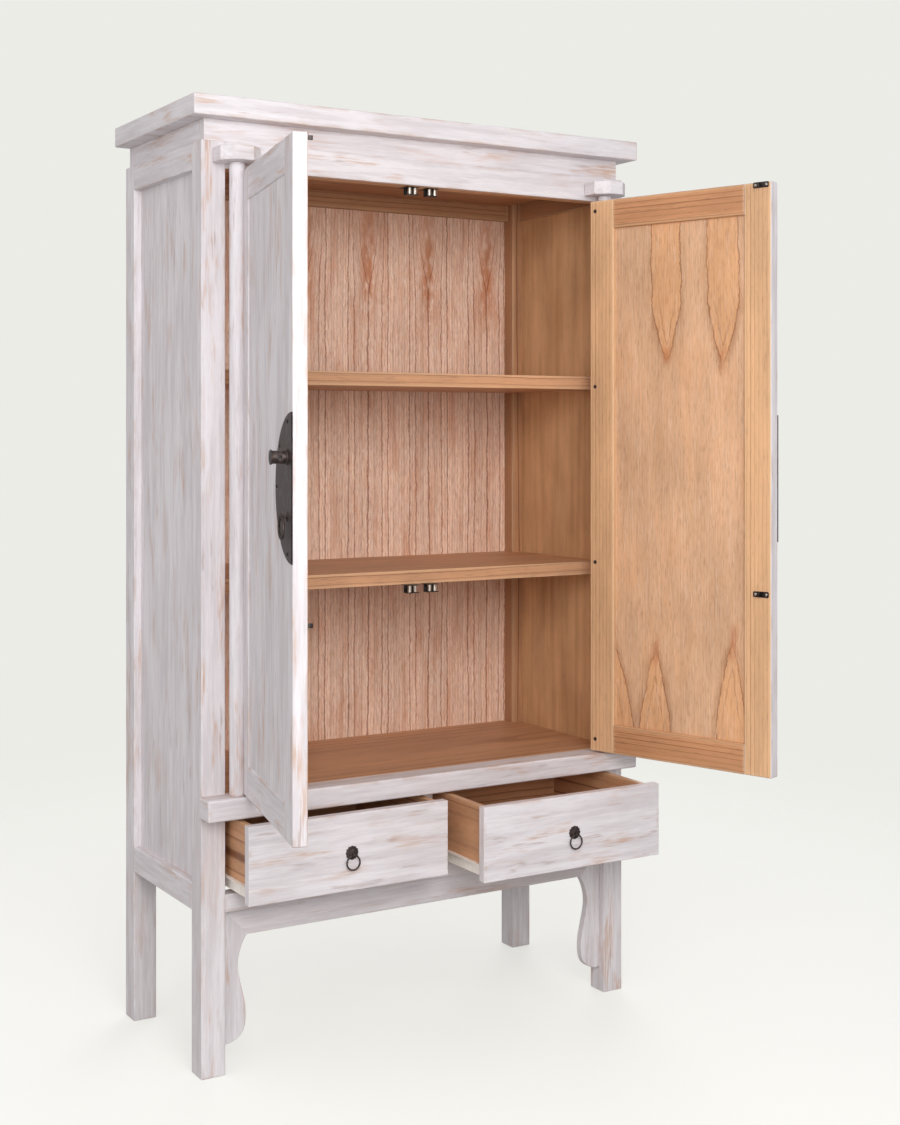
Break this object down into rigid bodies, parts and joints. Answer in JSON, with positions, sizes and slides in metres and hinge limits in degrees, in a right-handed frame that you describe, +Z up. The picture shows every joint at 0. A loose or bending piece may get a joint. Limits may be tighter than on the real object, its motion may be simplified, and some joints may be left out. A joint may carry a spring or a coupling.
{
  "type": "cabinet",
  "caption": "Whitewashed Chinese-style wedding cabinet: doors on wooden pivots, shelved compartments, drawers on steel slides, ring pulls and a round lock plate.",
  "frame": {"origin": "on the floor, at the centre of the rectangle over the four legs", "axes": "+X to the right seen from the front, +Y from the doors towards the back, +Z up"},
  "size_m": [1.1427, 0.8807, 1.9],
  "materials": {
    "whitewashed_wood": "chalky white paint rubbed back along the grain and edges, matt",
    "natural_wood": "clear satin finish over honey-brown wood",
    "back_veneer": "rift-cut veneer with dark upright grain lines, satin",
    "black_iron": "dark brown-black iron, worn on its high points",
    "dark_steel": "dark burnished steel",
    "roller_plastic": "pale moulded plastic",
    "slide_enamel": "cream-white stoved enamel"
  },
  "bodies": {
    "carcass": {"cornice_board": "whitewashed_wood", "frieze_boards": "whitewashed_wood", "front_left_post": "whitewashed_wood", "front_right_post": "whitewashed_wood", "back_left_post": "whitewashed_wood", "back_right_post": "whitewashed_wood", "front_top_rail": "whitewashed_wood", "pivot_blocks": "whitewashed_wood", "pivot_ledge": "whitewashed_wood", "drawer_rail": "whitewashed_wood", "drawer_divider": "whitewashed_wood", "centre_partition": "natural_wood", "apron_rail": "whitewashed_wood", "spandrels": "whitewashed_wood", "side_rails": "whitewashed_wood", "side_panels": "whitewashed_wood", "back_rails": "whitewashed_wood", "back_panel": "back_veneer", "ceiling_board": "natural_wood", "upper_shelf": "natural_wood", "lower_shelf": "natural_wood", "cabinet_floor": "natural_wood", "slide_channels": "slide_enamel", "catch_housings": "dark_steel"},
    "left_door": {"left_pivot_dowel": "whitewashed_wood", "left_hinge_stile": "whitewashed_wood", "left_lock_stile": "whitewashed_wood", "left_door_rails": "whitewashed_wood", "left_door_panel": "whitewashed_wood", "left_door_screws": "dark_steel", "left_lock_plate": "black_iron", "left_lock_post": "black_iron", "left_ring_staple": "black_iron", "left_strikes": "dark_steel"},
    "left_door_ring": {"left_pull_ring": "black_iron"},
    "left_drawer": {"left_drawer_front": "whitewashed_wood", "left_drawer_box": "natural_wood", "left_drawer_runners": "slide_enamel", "left_drawer_rosette": "black_iron"},
    "left_drawer_pull": {"left_drawer_ring": "black_iron"},
    "right_door": {"right_pivot_dowel": "whitewashed_wood", "right_hinge_stile": "whitewashed_wood", "right_lock_stile": "whitewashed_wood", "right_door_rails": "whitewashed_wood", "right_door_panel": "whitewashed_wood", "right_door_screws": "dark_steel", "right_lock_plate": "black_iron", "right_lock_post": "black_iron", "right_ring_staple": "black_iron", "right_strikes": "dark_steel"},
    "right_door_ring": {"right_pull_ring": "black_iron"},
    "right_drawer": {"right_drawer_front": "whitewashed_wood", "right_drawer_box": "natural_wood", "right_drawer_runners": "slide_enamel", "right_drawer_rosette": "black_iron"},
    "right_drawer_pull": {"right_drawer_ring": "black_iron"},
    "left_catch_left_side": {"left_catch_left_rollers": "roller_plastic"},
    "left_catch_right_side": {"left_catch_right_rollers": "roller_plastic"},
    "right_catch_left_side": {"right_catch_left_rollers": "roller_plastic"},
    "right_catch_right_side": {"right_catch_right_rollers": "roller_plastic"}
  },
  "joints": [
    {"name": "left_door_hinge", "type": "hinge", "parent": "carcass", "child": "left_door", "pos_m": [-0.441, -0.234, 1.154], "axis": [0, 0, -1], "range_deg": [-103, 72]},
    {"name": "left_door_ring_swing", "type": "hinge", "parent": "left_door", "child": "left_door_ring", "pos_m": [-0.53308, -0.6284, 1.1065], "axis": [0.225, 0.9744, 0], "range_deg": [-8, 150]},
    {"name": "right_door_hinge", "type": "hinge", "parent": "carcass", "child": "right_door", "pos_m": [0.441, -0.234, 1.154], "axis": [0, 0, 1], "range_deg": [-107.5, 67.5]},
    {"name": "right_door_ring_swing", "type": "hinge", "parent": "right_door", "child": "right_door_ring", "pos_m": [0.56374, -0.61996, 1.1065], "axis": [0.3007, -0.9537, 0], "range_deg": [-8, 150]},
    {"name": "left_drawer_slide", "type": "slide", "parent": "carcass", "child": "left_drawer", "axis": [0, -1, 0], "range_m": [-0.107, 0.193]},
    {"name": "left_drawer_ring_swing", "type": "hinge", "parent": "left_drawer", "child": "left_drawer_pull", "pos_m": [-0.23375, -0.3235, 0.423], "axis": [-1, 0, 0], "range_deg": [-6, 150]},
    {"name": "right_drawer_slide", "type": "slide", "parent": "carcass", "child": "right_drawer", "axis": [0, -1, 0], "range_m": [-0.199, 0.101]},
    {"name": "right_drawer_ring_swing", "type": "hinge", "parent": "right_drawer", "child": "right_drawer_pull", "pos_m": [0.23375, -0.4155, 0.423], "axis": [-1, 0, 0], "range_deg": [-6, 150]},
    {"name": "left_catch_left_travel", "type": "slide", "parent": "carcass", "child": "left_catch_left_side", "axis": [-1, 0, 0], "range_m": [0, 0.0016], "stiffness_N_per_m": 600, "springref_m": -0.0005},
    {"name": "left_catch_right_travel", "type": "slide", "parent": "carcass", "child": "left_catch_right_side", "axis": [1, 0, 0], "range_m": [0, 0.0016], "stiffness_N_per_m": 600, "springref_m": -0.0005},
    {"name": "right_catch_left_travel", "type": "slide", "parent": "carcass", "child": "right_catch_left_side", "axis": [-1, 0, 0], "range_m": [0, 0.0016], "stiffness_N_per_m": 600, "springref_m": -0.0005},
    {"name": "right_catch_right_travel", "type": "slide", "parent": "carcass", "child": "right_catch_right_side", "axis": [1, 0, 0], "range_m": [0, 0.0016], "stiffness_N_per_m": 600, "springref_m": -0.0005}
  ]
}
